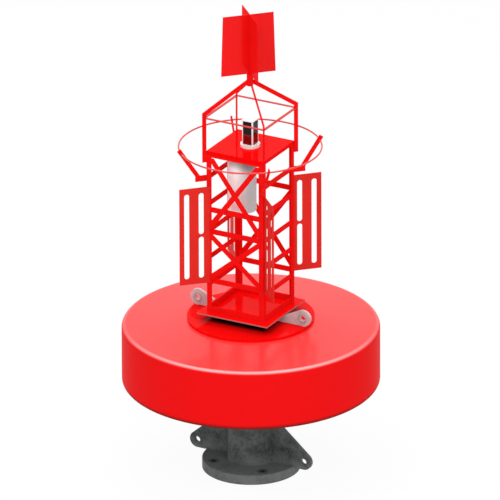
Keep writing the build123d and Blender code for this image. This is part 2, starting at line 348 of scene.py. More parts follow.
@dataclass(frozen=True)
class DeckPaint(GlossPaint):
    """Gloss paint on the deck disc, darkened under the tower's base plate by painted shadow."""

    # Painted shadow under the base plate.
    plate_shadow: Colour = (0.018, 0.006, 0.006)
    full_in: float = 0.09
    starts_in: float = 0.025
    shadow_wobble_scale: float = 12.0
    shadow_wobble: float = 0.03

    def tone(self, g: Graph) -> Socket:
        """The paint's colour, blending into a painted shadow under the plate.

        Args:
            g: the material's graph.

        Returns:
            The colour.
        """
        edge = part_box("tower_base_plate")[1].x
        # Painted shadow: its inner edge is made uneven by noise.
        away = g.square_reach() + g.noise(self.shadow_wobble_scale, 3.0) * self.shadow_wobble
        under = g.span(away, edge - self.full_in, edge - self.starts_in, 1.0, 0.0)
        return g.blend(under, super().tone(g), self.plate_shadow)


@dataclass(frozen=True)
class MouldedFloat(Finish):
    """Moulded plastic: a polished top painted paler as sheen, a fuller red side and a fine moulding grain.

    Its heights are measured from the float's underside.
    """

    side: Colour
    # Paler top colour: painted sheen.
    top: Colour
    # Painted rim highlight colour.
    rim_highlight: Colour
    # Painted shade colour on the lower rim.
    rim_shade: Colour
    # The top turns paler between these heights, as painted sheen, and takes its coat there.
    top_sheen_low: float = 0.505
    top_sheen_high: float = 0.527
    # Where the painted rim highlight runs: its height, half width, and how far in from the edge it fades.
    rim_highlight_height: float = 0.525
    rim_highlight_width: float = 0.0125
    rim_highlight_ends_in: float = 0.044
    rim_highlight_starts_in: float = 0.032
    # Painted shade on the lower rim: full strength at the low height, gone at the high one.
    rim_shade_low: float = 0.017
    rim_shade_high: float = 0.053
    rim_shade_share: float = 0.92
    shine: float = 0.62
    shine_roughness: float = 0.2
    roughness: float = 0.42
    gloss: float = 0.015
    cloud_scale: float = 1.6
    cloud_share: float = 0.12
    scuff_scale: float = 34.0
    wave_scale: float = 7.0
    grain_scale: float = 420.0
    grain_share: float = 0.3
    relief: float = 0.0010

    def lay(self, g: Graph) -> None:
        """Pales the top as painted sheen, darkens the lower rim as painted shade, paints a pale highlight
        round the upper rim and adds the grain.

        Args:
            g: the material's graph.
        """
        clouds = g.noise(self.cloud_scale, 3.0)
        height = g.height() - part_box("float_body")[0].z
        top_sheen = g.span(height, self.top_sheen_low, self.top_sheen_high)
        scuffs = g.span(g.noise(self.scuff_scale, 5.0, 0.7), 0.60, 0.78)
        # Painted sheen: the top is paler than the side.
        colour = g.blend(top_sheen, self.side, self.top)
        colour = g.blend(g.span(clouds, 0.4, 0.75, 0.0, self.cloud_share), colour, self.side)
        # Painted shade: the lower rim darkens towards the underside.
        rim_shaded = g.span(height + clouds * 0.006, self.rim_shade_low, self.rim_shade_high, self.rim_shade_share, 0.0)
        colour = g.blend(rim_shaded, colour, self.rim_shade)
        # Painted highlight: a pale band round the upper rim.
        rim_highlight_band = self.rim_highlight_band(g, height, clouds)
        grain = g.noise(self.grain_scale, 2.0) * self.grain_share
        waves = g.noise(self.wave_scale, 1.0) * (1.0 - self.grain_share)
        g.surface(
            Base_Color=g.blend(rim_highlight_band, colour, self.rim_highlight),
            Roughness=self.roughness + clouds * 0.08 + scuffs * 0.10,
            Specular_IOR_Level=self.gloss,
            Coat_Weight=top_sheen * self.shine + rim_highlight_band * (1.0 - self.shine),
            Coat_Roughness=self.shine_roughness,
            Normal=g.bump(grain + waves, self.relief, 0.35),
        )

    def rim_highlight_band(self, g: Graph, height: Socket, clouds: Socket) -> Socket:
        """A painted highlight: a soft pale band round the upper rim.

        It is strongest at the front, the side that faces the camera.

        Args:
            g: the material's graph.
            height: height above the float's underside.
            clouds: noise that makes the band uneven.

        Returns:
            The band's mask.
        """
        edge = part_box("float_body")[1].x
        off = abs(height - self.rim_highlight_height)
        band = g.span(off, 0.0, self.rim_highlight_width, 1.0, 0.0) * g.span(clouds, 0.2, 0.8, 0.75, 1.0)
        band = band * g.span(g.along(FRONT), 0.15, 1.05, 0.15, 1.0)
        away = g.distance(g.axis("X"), g.axis("Y"))
        return band * g.span(away, edge - self.rim_highlight_ends_in, edge - self.rim_highlight_starts_in)


@dataclass(frozen=True)
class WornSteel(Finish):
    """Dark coated steel: mottling, painted light that makes upward faces and the steel near the flange
    paler, fine pitting and grime round bolt holes.

    Heights that start with above are measured from the top of the bottom flange.
    """

    dark: Colour
    light: Colour
    metal: float = 0.0
    roughness: float = 0.5
    gloss: float = 0.3
    patch_scale: float = 7.0
    spangle_scale: float = 55.0
    spangle_share: float = 0.14
    light_share: float = 0.7
    pit_scale: float = 160.0
    pit_roughness: float = 0.22
    pit_depth: float = 0.0006
    # Painted light: the steel is paler up to this height above the flange, by this tone, and darker above,
    # in the float's shade.
    above_low_light: float = 0.1275
    low_light_tone: float = 0.45
    # Paler, cooler colour on upward faces: painted top light.
    top_light: Colour = (0.27, 0.33, 0.33)
    top_light_share: float = 0.5
    grime_tone: float = 0.3
    above_grime: tuple[float, float] = (0.01, 0.03)
    hole_inset: float = 0.085
    hole_edge: float = 0.018
    hole_grime: float = 0.068

    def lay(self, g: Graph) -> None:
        """Mottles the steel, paints it paler near the flange and on upward faces as painted light, darker
        higher up under the float as painted shade, and pits it.

        Args:
            g: the material's graph.
        """
        patches = g.noise(self.patch_scale, 5.0, 0.6)
        cells = {"Vector": g.place(), "Scale": self.spangle_scale}
        spangle = g.node("ShaderNodeTexVoronoi", {}, cells, "Color")
        flake = g.node("ShaderNodeSeparateColor", {}, {0: spangle}, 0)
        pits = g.noise(self.pit_scale, 3.0)
        mottle = patches * (1.0 - self.spangle_share) + flake * self.spangle_share
        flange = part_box("base_flange")[1].z
        # Painted light and shade: paler near the flange, darker higher up under the float.
        low_light = g.span(g.height(), flange, flange + self.above_low_light, self.low_light_tone, 0.0)
        tone = g.span(mottle, 0.32, 0.68) * self.light_share + low_light
        # Painted top light: upward faces take the paler colour.
        level = g.span(g.normal("Z"), 0.5, 0.95, 0.0, self.top_light_share)
        top_lit = level * g.span(patches, 0.35, 0.65, 0.6, 1.0)
        colour = g.blend(top_lit, g.blend(tone, self.dark, self.light), self.top_light)
        grimy = tuple(value * self.grime_tone for value in self.dark)
        g.surface(
            Base_Color=g.blend(self.grime(g), colour, grimy),
            Metallic=tone * self.metal,
            Roughness=self.roughness + pits * self.pit_roughness,
            Specular_IOR_Level=self.gloss,
            Normal=g.bump(pits, self.pit_depth, 0.6),
        )

    def grime(self, g: Graph) -> Socket:
        """Soft dark spots at the flange's four holes, which lie on the diagonals.

        Args:
            g: the material's graph.

        Returns:
            1 at a hole's edge and 0 away from it.
        """
        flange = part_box("base_flange")[1]
        side = (flange.x - self.hole_inset) / math.sqrt(2.0)
        dx, dy = (abs(g.axis(name)) - side for name in "XY")
        away = g.distance(dx, dy) + g.noise(60.0) * 0.012
        low, high = (flange.z + above for above in self.above_grime)
        near = g.span(g.height(), low, high, 0.95, 0.0)
        return g.span(away, self.hole_edge, self.hole_grime, 1.0, 0.0) * near


@dataclass(frozen=True)
class EyeZinc(WornSteel):
    """Zinc-coated steel with a dark worn ring round each lifting eye."""

    ring: float = 0.037
    ring_width: float = 0.007

    def grime(self, g: Graph) -> Socket:
        """A soft dark ring where the shackle's cheeks rub.

        Args:
            g: the material's graph.

        Returns:
            The ring's mask.
        """
        dx = abs(g.axis("X")) - LIFT_EYE[0]
        dz = g.height() - LIFT_EYE[1]
        off = abs(g.distance(dx, dz) - self.ring)
        return g.span(off, self.ring_width * 0.4, self.ring_width, 0.5, 0.0)


@dataclass(frozen=True)
class PlainCoat(Finish):
    """White coated metal or moulding with faint streaks."""

    colour: Colour
    shade: Colour
    roughness: float = 0.32
    gloss: float = 0.3
    peel_scale: float = 300.0
    peel: float = 0.00005
    streak_scale: tuple[float, float, float] = (40.0, 40.0, 3.0)

    def lay(self, g: Graph) -> None:
        """Streaks the coat and gives it a faint orange peel.

        Args:
            g: the material's graph.
        """
        streaks = g.node("ShaderNodeMapping", {}, {"Vector": g.place(), "Scale": self.streak_scale})
        tone = g.span(g.noise(1.0, 3.0, 0.5, streaks), 0.4, 0.8)
        g.surface(
            Base_Color=self.coat(g, tone),
            Roughness=self.roughness + tone * 0.1,
            Specular_IOR_Level=self.gloss,
            Normal=g.bump(g.noise(self.peel_scale, 1.0), self.peel),
        )

    def coat(self, g: Graph, tone: Socket) -> Socket:
        """The coat's colour, shaded where the streaks' tone is 1."""
        return g.blend(tone, self.colour, self.shade)


@dataclass(frozen=True)
class CanisterCoat(PlainCoat):
    """White coat with painted shade: greyer on the side away from the lamps, and a painted shadow under the
    tray.
    """

    # Painted shadow of the tray: its colour, the heights where it starts and is full, and its slant.
    tray_shadow: Colour = (0.11, 0.10, 0.10)
    tray_shadow_low: float = 2.735
    tray_shadow_high: float = 2.85
    tray_shadow_slant: float = 0.37
    # Painted shade on the side away from the lamps.
    side_shade_low: float = -0.12
    side_shade_high: float = -0.02

    def coat(self, g: Graph, tone: Socket) -> Socket:
        """The coat's colour with its two painted shade gradients.

        Args:
            g: the material's graph.
            tone: the streaks.

        Returns:
            The colour.
        """
        right = g.along(RIGHT)
        # Painted shade: greyer towards the right side.
        side_shade = g.span(right, self.side_shade_low, self.side_shade_high, 0.0, 0.85) + tone * 0.1
        height = g.height() + right * self.tray_shadow_slant + tone * 0.01
        # Painted shadow: darker towards the tray above.
        tray_shaded = g.span(height, self.tray_shadow_low, self.tray_shadow_high, 0.0, 0.85)
        return g.blend(tray_shaded, g.blend(side_shade, self.colour, self.shade), self.tray_shadow)


@dataclass(frozen=True)
class SolarGlass(Finish):
    """Dark solar cells under glass, parted by thin lines, with a painted red reflection along their lower
    part.
    """

    cell: Colour
    shade: Colour
    line: Colour
    # Painted red reflection along the panels' lower part, up to the height below.
    lens: Colour
    red_reflection_height: float = 0.091
    pitch: float = 0.0205
    rows: float = 0.052
    wire: float = 0.05
    gloss: float = 0.1
    glass: float = 0.12
    glass_roughness: float = 0.03
    cell_roughness: float = 0.08
    cell_scale: float = 30.0

    def lay(self, g: Graph) -> None:
        """Draws the grid of wires on the cells and the painted red reflection, and puts glass over them.

        Args:
            g: the material's graph.
        """
        faces_x = abs(g.normal("X")) > 0.5
        across = g.axis("X") + (g.axis("Y") - g.axis("X")) * faces_x
        wires = g.math("FRACT", across / self.pitch + 0.5) < self.wire
        gaps = g.math("FRACT", g.height() / self.rows) < self.wire / 2
        grid = g.math("MAXIMUM", wires, gaps)
        cells = g.blend(g.noise(self.cell_scale, 2.0), self.cell, self.shade)
        # Painted reflection: the panels' lower part is dark red.
        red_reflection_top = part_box("lantern_panels")[0].z + self.red_reflection_height
        cells = g.blend(g.height() < red_reflection_top, cells, self.lens)
        g.surface(
            Base_Color=g.blend(grid, cells, self.line),
            Roughness=grid * 0.2 + self.cell_roughness,
            Specular_IOR_Level=self.gloss,
            Coat_Weight=self.glass,
            Coat_Roughness=self.glass_roughness,
        )


FINISHES: dict[Slot, Finish] = {
    Slot.STEEL: WornSteel("coated_steel", dark=(0.034, 0.039, 0.039), light=(0.205, 0.222, 0.218)),
    Slot.RED: GlossPaint("red_gloss", (0.88, 0.008, 0.008), (0.80, 0.006, 0.006), gloss=0.003),
    Slot.FLOAT: MouldedFloat(
        "float_plastic",
        side=(0.82, 0.006, 0.007),
        # The paler top is painted sheen, the pale rim colour a painted highlight and the dark colour a
        # painted shade on the lower rim.
        top=(0.92, 0.045, 0.045),
        rim_highlight=(0.97, 0.46, 0.46),
        rim_shade=(0.10, 0.010, 0.008),
    ),
    Slot.VANE: GlossPaint("vane_paint", (0.75, 0.030, 0.023), (0.67, 0.026, 0.020), roughness=0.3),
    Slot.LUG: EyeZinc(
        "zinc_steel",
        dark=(0.46, 0.44, 0.44),
        light=(0.82, 0.79, 0.79),
        metal=0.1,
        roughness=0.34,
        # The lugs take no painted top light.
        top_light_share=0.0,
    ),
    # The grey is the canister's painted shade colour.
    Slot.CANISTER: CanisterCoat("canister_coat", (0.98, 1.0, 1.0), (0.52, 0.63, 0.64)),
    Slot.LANTERN: PlainCoat("lantern_shell", (0.86, 0.87, 0.87), (0.80, 0.81, 0.81)),
    Slot.SOLAR: SolarGlass(
        "solar_glass",
        cell=(0.002, 0.002, 0.0025),
        shade=(0.006, 0.006, 0.007),
        line=(0.03, 0.01, 0.01),
        # The dark red is a painted reflection on the panels' lower part.
        lens=(0.22, 0.002, 0.002),
    ),
}

NODE_FINISHES: dict[str, Finish] = {
    "guard_rod": GlossPaint(
        "rod_gloss", (0.72, 0.014, 0.014), (0.62, 0.012, 0.012), roughness=0.22, gloss=0.8, wash=0.2
    ),
    "cage_rods": GlossPaint(
        "bar_gloss", (0.66, 0.014, 0.014), (0.58, 0.012, 0.012), roughness=0.25, gloss=0.2, wash=0.1
    ),
    "lantern_platform": GlossPaint(
        "tray_paint", (0.90, 0.002, 0.002), (0.84, 0.002, 0.002), roughness=0.07, gloss=0.003, wash=0.11
    ),
    "topmark_plate": GlossPaint(
        "topmark_paint", (0.83, 0.006, 0.006), (0.77, 0.005, 0.005), roughness=0.12, gloss=0.12
    ),
    "deck_disc": DeckPaint("deck_paint", (0.93, 0.004, 0.004), (0.88, 0.003, 0.003)),
    "tower_base_plate": PlatePaint("plate_paint", (0.93, 0.004, 0.004), (0.86, 0.003, 0.003)),
}


def spin(degrees: float) -> np.ndarray:
    """Rotation matrix about the Z axis, anticlockwise from above."""
    c, s = math.cos(math.radians(degrees)), math.sin(math.radians(degrees))
    return np.array([[c, -s, 0.0], [s, c, 0.0], [0.0, 0.0, 1.0]])


def facing(axis: tuple[float, float, float]) -> np.ndarray:
    """Rotation matrix that turns the Z axis to a given direction."""
    return np.array(Vector(axis).to_track_quat("Z", "Y").to_matrix())


def arc(middle: tuple[float, float], radius: float, start: float, end: float, steps: int) -> np.ndarray:
    """Points on an arc, both ends included.

    A point at angle a is middle + radius (cos a, sin a).

    Args:
        middle: the arc's centre.
        radius: its radius.
        start: first angle in degrees.
        end: last angle in degrees.
        steps: number of points.

    Returns:
        The points, steps by 2.
    """
    angle = np.radians(np.linspace(start, end, steps))
    return np.stack([middle[0] + radius * np.cos(angle), middle[1] + radius * np.sin(angle)], -1)


def circle(middle: tuple[float, float], radius: float, steps: int) -> np.ndarray:
    """Points on a full circle, without a second copy of the first."""
    return arc(middle, radius, 0.0, 360.0, steps + 1)[:-1]


@dataclass
class Shape:
    """Points and faces of closed surfaces, kept as arrays in metres."""

    points: np.ndarray
    quads: np.ndarray
    tris: np.ndarray

    @classmethod
    def sheet(cls, grid: np.ndarray, wrap: bool = False) -> "Shape":
        """Closes a grid of points into a surface whose rows are loops.

        Each row of the grid is a closed loop, and row i is joined to row i + 1 by
        quads. The rows wrap round from last to first, or each end is closed by a
        fan of triangles round the middle of its loop.

        Args:
            grid: points, rows by columns by 3.
            wrap: joins the last row to the first.

        Returns:
            The closed surface.
        """
        rows, columns = grid.shape[:2]
        i, j = np.meshgrid(np.arange(rows if wrap else rows - 1), np.arange(columns), indexing="ij")
        above, beside = (i + 1) % rows, (j + 1) % columns
        corners = (i * columns + j, i * columns + beside, above * columns + beside, above * columns + j)
        quads = np.stack(corners, -1).reshape(-1, 4)
        points = grid.reshape(-1, 3)
        if wrap:
            return cls(points, quads, np.zeros((0, 3), int))
        j = np.arange(columns)
        beside = (j + 1) % columns
        pole, last = rows * columns, (rows - 1) * columns
        foot = np.stack([beside, j, np.full(columns, pole)], -1)
        head = np.stack([last + j, last + beside, np.full(columns, pole + 1)], -1)
        points = np.concatenate([points, grid[0].mean(0, keepdims=True), grid[-1].mean(0, keepdims=True)])
        return cls(points, quads, np.concatenate([foot, head]))

    @classmethod
    def lathe(cls, profile: np.ndarray, segments: int) -> "Shape":
        """Turns a closed profile, clear of the axis, round the Z axis.

        A profile point (r, z) becomes (r cos a, r sin a, z) for angles a from 0 to
        a full turn in equal steps.

        Args:
            profile: points (radius, height), in order round the section.
            segments: steps in the full turn.

        Returns:
            The turned surface.
        """
        angle = np.linspace(0.0, 2.0 * np.pi, segments, endpoint=False)
        radius = profile[:, :1]
        height = np.broadcast_to(profile[:, 1:], (len(profile), segments))
        return cls.sheet(np.stack([radius * np.cos(angle), radius * np.sin(angle), height], -1), wrap=True)

    @classmethod
    def tube(cls, path: np.ndarray, radius: np.ndarray, sides: int, loop: bool = False) -> "Shape":
        """Sweeps a circle along a path.

        At each path point the circle stands square to the path, on the two
        directions across it: u = forward x reference, v = u x forward, and a point
        is path + radius (u cos a + v sin a).

        Args:
            path: points of the middle line.
            radius: the circle's radius at each point.
            sides: corners of the circle.
            loop: the path closes on itself.

        Returns:
            The swept surface.
        """
        if loop:
            forward = np.roll(path, -1, 0) - np.roll(path, 1, 0)
        else:
            forward = np.gradient(path, axis=0)
        forward = forward / np.linalg.norm(forward, axis=1, keepdims=True)
        upright = abs(forward[0, 2]) > 0.9
        reference = np.array([1.0, 0.0, 0.0] if upright else [0.0, 0.0, 1.0])
        u = np.cross(forward, reference)
        u = u / np.linalg.norm(u, axis=1, keepdims=True)
        v = np.cross(u, forward)
        angle = np.linspace(0.0, 2.0 * np.pi, sides, endpoint=False)
        ring = u[:, None] * np.cos(angle)[None, :, None] + v[:, None] * np.sin(angle)[None, :, None]
        return cls.sheet(path[:, None] + radius[:, None, None] * ring, loop)

    @classmethod
    def join(cls, shapes: list["Shape"]) -> "Shape":
        """Puts several shapes into one, with all their faces."""
        starts = np.cumsum([0] + [len(shape.points) for shape in shapes[:-1]])
        return cls(
            np.concatenate([shape.points for shape in shapes]),
            np.concatenate([shape.quads + start for shape, start in zip(shapes, starts)]),
            np.concatenate([shape.tris + start for shape, start in zip(shapes, starts)]),
        )

    def turned(self, turn: np.ndarray) -> "Shape":
        """A copy turned about the origin by a rotation matrix."""
        return Shape(self.points @ turn.T, self.quads, self.tris)

    def moved(self, *move: float) -> "Shape":
        """A copy moved by the given X, Y and Z."""
        return Shape(self.points + np.array(move), self.quads, self.tris)

    def repeated(self, count: int, first: float = 0.0) -> "Shape":
        """Copies set evenly round the Z axis, with the first turned by an angle in degrees, as one shape."""
        return Shape.join([self.turned(spin(first + 360.0 / count * k)) for k in range(count)])

    def piece(self, name: str, slot: Slot, *stands_for: str) -> bpy.types.Object:
        """Makes the Blender object, smooth where its faces meet at a slight angle.

        Args:
            name: the object's name.
            slot: the material slot that it takes its finish from.
            stands_for: names of the nodes that it replaces.

        Returns:
            The object, at the origin and riding on the body.
        """
        mesh = bpy.data.meshes.new(name)
        mesh.vertices.add(len(self.points))
        mesh.vertices.foreach_set("co", self.points.astype(np.float32).ravel())
        corners = np.concatenate([self.quads.ravel(), self.tris.ravel()]).astype(np.int32)
        sizes = np.concatenate([np.full(len(self.quads), 4), np.full(len(self.tris), 3)])
        mesh.loops.add(len(corners))
        mesh.loops.foreach_set("vertex_index", corners)
        mesh.polygons.add(len(sizes))
        mesh.polygons.foreach_set("loop_start", (np.cumsum(sizes) - sizes).astype(np.int32))
        mesh.update(calc_edges=True)
        form = bmesh.new()
        form.from_mesh(mesh)
        bmesh.ops.recalc_face_normals(form, faces=form.faces)
        form.to_mesh(mesh)
        form.free()
        mesh.shade_smooth()
        mesh.set_sharp_from_angle(angle=math.radians(SMOOTH_ANGLE))
        piece = bpy.data.objects.new(name, mesh)
        bpy.context.scene.collection.objects.link(piece)
        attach(piece, BODY)
        piece["slot_name"] = slot.value
        if stands_for:
            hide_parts(*stands_for)
        LOG.info("%s: %d faces, %s", name, len(sizes), slot.value)
        return piece


@dataclass
class FloatShell:
    """The moulded float: straight side, rounded rims, coned top and a bore for the hub."""

    inside: float = 0.0005
    rim: float = 0.038
    side_height: float = 0.531
    bore_room: float = 0.003
    segments: int = 288
    rim_steps: int = 12
    cone_steps: int = 14
    side_steps: int = 12
    under_steps: int = 8
    bore_steps: int = 7
    seat_steps: int = 5

    def build(self) -> list[bpy.types.Object]:
        """Turns the float's section round the Z axis.

        The section runs out along the flat seat, down the cone, round the upper
        rim, down the side, round the lower rim, in along the underside and up the
        bore, with extra points on each straight.

        Returns:
            The float.
        """
        low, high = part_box("float_body")
        radius = high.x - self.inside
        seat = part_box("deck_disc")[1].x
        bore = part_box("hub_tube")[1].x + self.bore_room
        shoulder = low.z + self.side_height
        edge = radius - self.rim
        slope = math.degrees(math.atan2(high.z - shoulder, edge - seat))
        top, foot = shoulder - self.rim, low.z + self.rim
        section = np.concatenate([
            np.linspace((bore, high.z), (seat, high.z), self.seat_steps)[:-1],
            np.linspace((seat, high.z), (edge, shoulder), self.cone_steps)[:-1],
            arc((edge, top), self.rim, 90.0 - slope, 0.0, self.rim_steps),
            np.linspace((radius, top), (radius, foot), self.side_steps)[1:-1],
            arc((edge, foot), self.rim, 0.0, -90.0, self.rim_steps),
            np.linspace((edge, low.z), (bore, low.z), self.under_steps)[1:],
            np.linspace((bore, low.z), (bore, high.z), self.bore_steps)[1:-1],
        ])
        return [Shape.lathe(section, self.segments).piece("float_shell", Slot.FLOAT, "float_body")]


@dataclass
class GuardRing:
    """The round rod that the four arms carry."""

    rod: float = 0.0073
    reach: float = 0.607
    steps: int = 288
    sides: int = 16

    def build(self) -> list[bpy.types.Object]:
        """Turns the rod's circle round the Z axis.

        Returns:
            The rod.
        """
        low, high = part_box("guard_ring")
        section = circle((self.reach, (low.z + high.z) / 2), self.rod, self.sides)
        return [Shape.lathe(section, self.steps).piece("guard_rod", Slot.RED, "guard_ring")]


@dataclass
class CanisterRims:
    """Rolled rims at both ends of the battery canister."""

    bead: float = 0.004
    sunk: float = 0.001
    sides: int = 12
    segments: int = 144

    def build(self) -> list[bpy.types.Object]:
        """Turns a small circle at each end of the canister.

        Returns:
            Both rims, as one piece.
        """
        low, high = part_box("battery_canister")
        radius = (high.x - low.x) / 2 - self.sunk
        rims = [
            Shape.lathe(circle((radius, height), self.bead, self.sides), self.segments)
            for height in (low.z + self.bead, high.z - self.bead)
        ]
        seated = Shape.join(rims).moved((low.x + high.x) / 2, (low.y + high.y) / 2, 0.0)
        return [seated.piece("canister_rims", Slot.CANISTER)]


@dataclass
class Weld:
    """A rippled weld bead."""

    radius: float = 0.0042
    ripple: float = 0.012
    share: float = 0.16
    sides: int = 8
    ripple_steps: int = 4
    fewest_steps: int = 6

    def bead(self, path: np.ndarray, loop: bool = False) -> Shape:
        """Sweeps the bead along a path.

        Its radius at distance s along the path is radius (1 - share + share |sin(pi s / ripple)|).

        Args:
            path: points of the seam.
            loop: the seam closes on itself.

        Returns:
            The bead.
        """
        s = np.concatenate([[0.0], np.cumsum(np.linalg.norm(np.diff(path, axis=0), axis=1))])
        sizes = self.radius * (1.0 - self.share + self.share * np.abs(np.sin(np.pi * s / self.ripple)))
        return Shape.tube(path, sizes, self.sides, loop)

    def line(self, start: tuple[float, float, float], end: tuple[float, float, float]) -> Shape:
        """A straight bead.

        Args:
            start: first point of the seam.
            end: last point of the seam.

        Returns:
            The bead, closed at both ends.
        """
        length = math.dist(start, end)
        steps = max(self.fewest_steps, int(self.ripple_steps * length / self.ripple))
        return self.bead(np.linspace(start, end, steps))

    def upright(self, x: float, y: float, low: float, high: float) -> Shape:
        """A straight bead that stands at x and y from one height to another."""
        return self.line((x, y, low), (x, y, high))

    def round(self, radius: float, height: float) -> Shape:
        """A bead that runs once round a tube on the Z axis.

        Args:
            radius: radius of the seam.
            height: its height.

        Returns:
            The closed bead.
        """
        laps = int(2 * math.pi * radius / self.ripple)
        flat = circle((0.0, 0.0), radius, self.ripple_steps * laps)
        return self.bead(np.column_stack([flat, np.full(len(flat), height)]), loop=True)


@dataclass
class TowerWelds:
    """Beads where vanes, arms, cage bars and posts are welded on."""

    plate: float = 0.008
    cage_plate: float = 0.006
    short: float = 0.004
    arm_seam: float = 0.049
    weld: Weld = field(default_factory=Weld)

    def build(self) -> list[bpy.types.Object]:
        """Lays the beads of one corner and repeats them at the other three.

        Returns:
            The beads on the vanes, on arms and cage, and on the posts.
        """
        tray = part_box("lantern_platform")[1]
        half = tray.x
        post_low, post_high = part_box("tower_post_left")
        leg = post_high.x - post_low.x
        middle = half - leg / 2
        skew = self.plate / math.sqrt(2.0)
        lap = self.cage_plate / 2 / math.sqrt(2.0)
        vane_low, vane_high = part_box("vane_left")
        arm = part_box("ring_arm_left")[0].z
        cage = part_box("cage_bar_left")[0].z
        vanes, arms, cages = [], [], []
        for hand in (-1, 1):
            seam = -middle + hand * skew
            vanes.append(self.weld.upright(seam, -half, vane_low.z + self.short, vane_high.z - self.short))
            arms.append(self.weld.upright(-half, seam, arm + self.short, arm + self.arm_seam))
            x, y = -half - hand * lap, -half + hand * lap
            cages.append(self.weld.upright(x, y, cage + self.short, tray.z - self.short))
        corner = (-half, -half, post_low.z)
        foot = [
            self.weld.line(corner, (leg - half, -half, post_low.z)),
            self.weld.line(corner, (-half, leg - half, post_low.z)),
        ]
        return [
            Shape.join(vanes).repeated(4).piece("vane_welds", Slot.VANE),
            Shape.join(arms + cages).repeated(4).piece("arm_welds", Slot.RED),
            Shape.join(foot).repeated(4).piece("post_welds", Slot.RED),
        ]


@dataclass
class SteelWelds:
    """Beads on the hub, the mooring fins, the clamp ring and the lifting lugs."""

    fin_start: float = 0.002
    fin_end: float = 0.008
    lug_start: float = 0.004
    lug_end: float = 0.5
    weld: Weld = field(default_factory=lambda: Weld(0.006, 0.016))
    fine: Weld = field(default_factory=lambda: Weld(0.005, 0.014))

    def build(self) -> list[bpy.types.Object]:
        """Lays the beads on both sides of each plate.

        Returns:
            The beads on the hub and on the lugs.
        """
        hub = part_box("hub_tube")[1].x
        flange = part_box("base_flange")[1]
        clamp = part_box("clamp_ring")[0].z
        fin_low, fin_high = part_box("mooring_fin_right")
        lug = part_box("lifting_lug_right")[0]
        fins, lugs = [], []
        for side in (-1, 1):
            inner, outer = side * (hub + self.fin_start), side * (flange.x - self.fin_end)
            for face in (fin_low.y, fin_high.y):
                fins.append(self.weld.line((inner, face, flange.z), (outer, face, flange.z)))
                fins.append(self.weld.upright(side * hub, face, flange.z, fin_high.z))
            inner, outer = side * (hub + self.lug_start), side * self.lug_end
            for face in (lug.y, -lug.y):
                lugs.append(self.fine.line((inner, face, lug.z), (outer, face, lug.z)))
        rings = [self.weld.round(hub, height) for height in (flange.z, clamp)]
        return [
            Shape.join(fins + rings).piece("hub_welds", Slot.STEEL),
            Shape.join(lugs).piece("lug_welds", Slot.RED),
        ]


@dataclass
class EyeCollars:
    """Flat welded collars round the shackle holes, on both faces of each eye."""

    lift_hole: float = 0.0255
    lift_reach: float = 0.044
    moor_hole: float = 0.0275
    moor_reach: float = 0.046
    thick: float = 0.003
    sunk: float = 0.001
    edge: float = 0.0015
    edge_steps: int = 6
    segments: int = 96

    def build(self) -> list[bpy.types.Object]:
        """Puts a collar on each face of the four eyes.

        Returns:
            The collars of the lifting lugs and of the mooring fins.
        """
        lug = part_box("lifting_lug_right")[1].y
        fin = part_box("mooring_fin_right")[1].y
        lift = self.four(self.collar(self.lift_hole, self.lift_reach), LIFT_EYE, lug)
        moor = self.four(self.collar(self.moor_hole, self.moor_reach), MOOR_EYE, fin)
        return [
            lift.piece("lug_collars", Slot.LUG),
            moor.piece("mooring_collars", Slot.STEEL),
        ]

    def collar(self, hole: float, reach: float) -> Shape:
        """Turns the collar's section, whose outer edge is rounded, round the Z axis.

        Args:
            hole: radius of the hole.
            reach: outer radius.

        Returns:
            The collar, lying flat with its foot just under the origin.
        """
        rim = arc((reach - self.edge, self.thick - self.edge), self.edge, 90.0, 0.0, self.edge_steps)
        section = [[[hole, -self.sunk], [hole, self.thick]], rim, [[reach, -self.sunk]]]
        return Shape.lathe(np.concatenate(section), self.segments)

    def four(self, collar: Shape, eye: tuple[float, float], face: float) -> Shape:
        """Sets a collar on both faces of the left and right eye.

        Args:
            collar: the collar, lying flat.
            eye: the eye's distance from the axis and its height.
            face: distance of the plate's face from its middle.

        Returns:
            The four collars.
        """
        return Shape.join([
            collar.turned(facing((0.0, out, 0.0))).moved(side * eye[0], out * face, eye[1])
            for side in (-1, 1)
            for out in (-1, 1)
        ])


@dataclass(frozen=True)
class HexBolt:
    """A hexagon head on a round washer."""

    across: float
    head: float
    washer: float
    washer_thick: float
    bevel_share: float = 0.14
    crown_share: float = 0.97
    soft_share: float = 0.25
    columns: int = 48

    def shape(self) -> Shape:
        """Stacks loops from the washer's foot to the head's top.

        A point of the head at angle a lies at radius (across / 2) / cos((a mod 60)
        - 30 degrees), and the top loop is held to a circle just inside the flats.

        Returns:
            The bolt, pointing along Z with its foot at the origin.
        """
        angle = np.linspace(0.0, 360.0, self.columns, endpoint=False)
        flat = self.across / 2
        six = flat / np.cos(np.radians(angle % 60.0 - 30.0))
        bevel = self.head * self.bevel_share
        soft = self.washer_thick * self.soft_share
        washer = np.full(self.columns, self.washer)
        levels = [
            (washer, 0.0),
            (washer, self.washer_thick - soft),
            (washer - soft, self.washer_thick),
            (six, self.washer_thick),
            (six, self.washer_thick + self.head - bevel),
            (np.minimum(six, flat * self.crown_share), self.washer_thick + self.head),
        ]
        turn = np.radians(angle)
        grid = np.stack([
            np.column_stack([radius * np.cos(turn), radius * np.sin(turn), np.full(self.columns, height)])
            for radius, height in levels
        ])
        return Shape.sheet(grid)


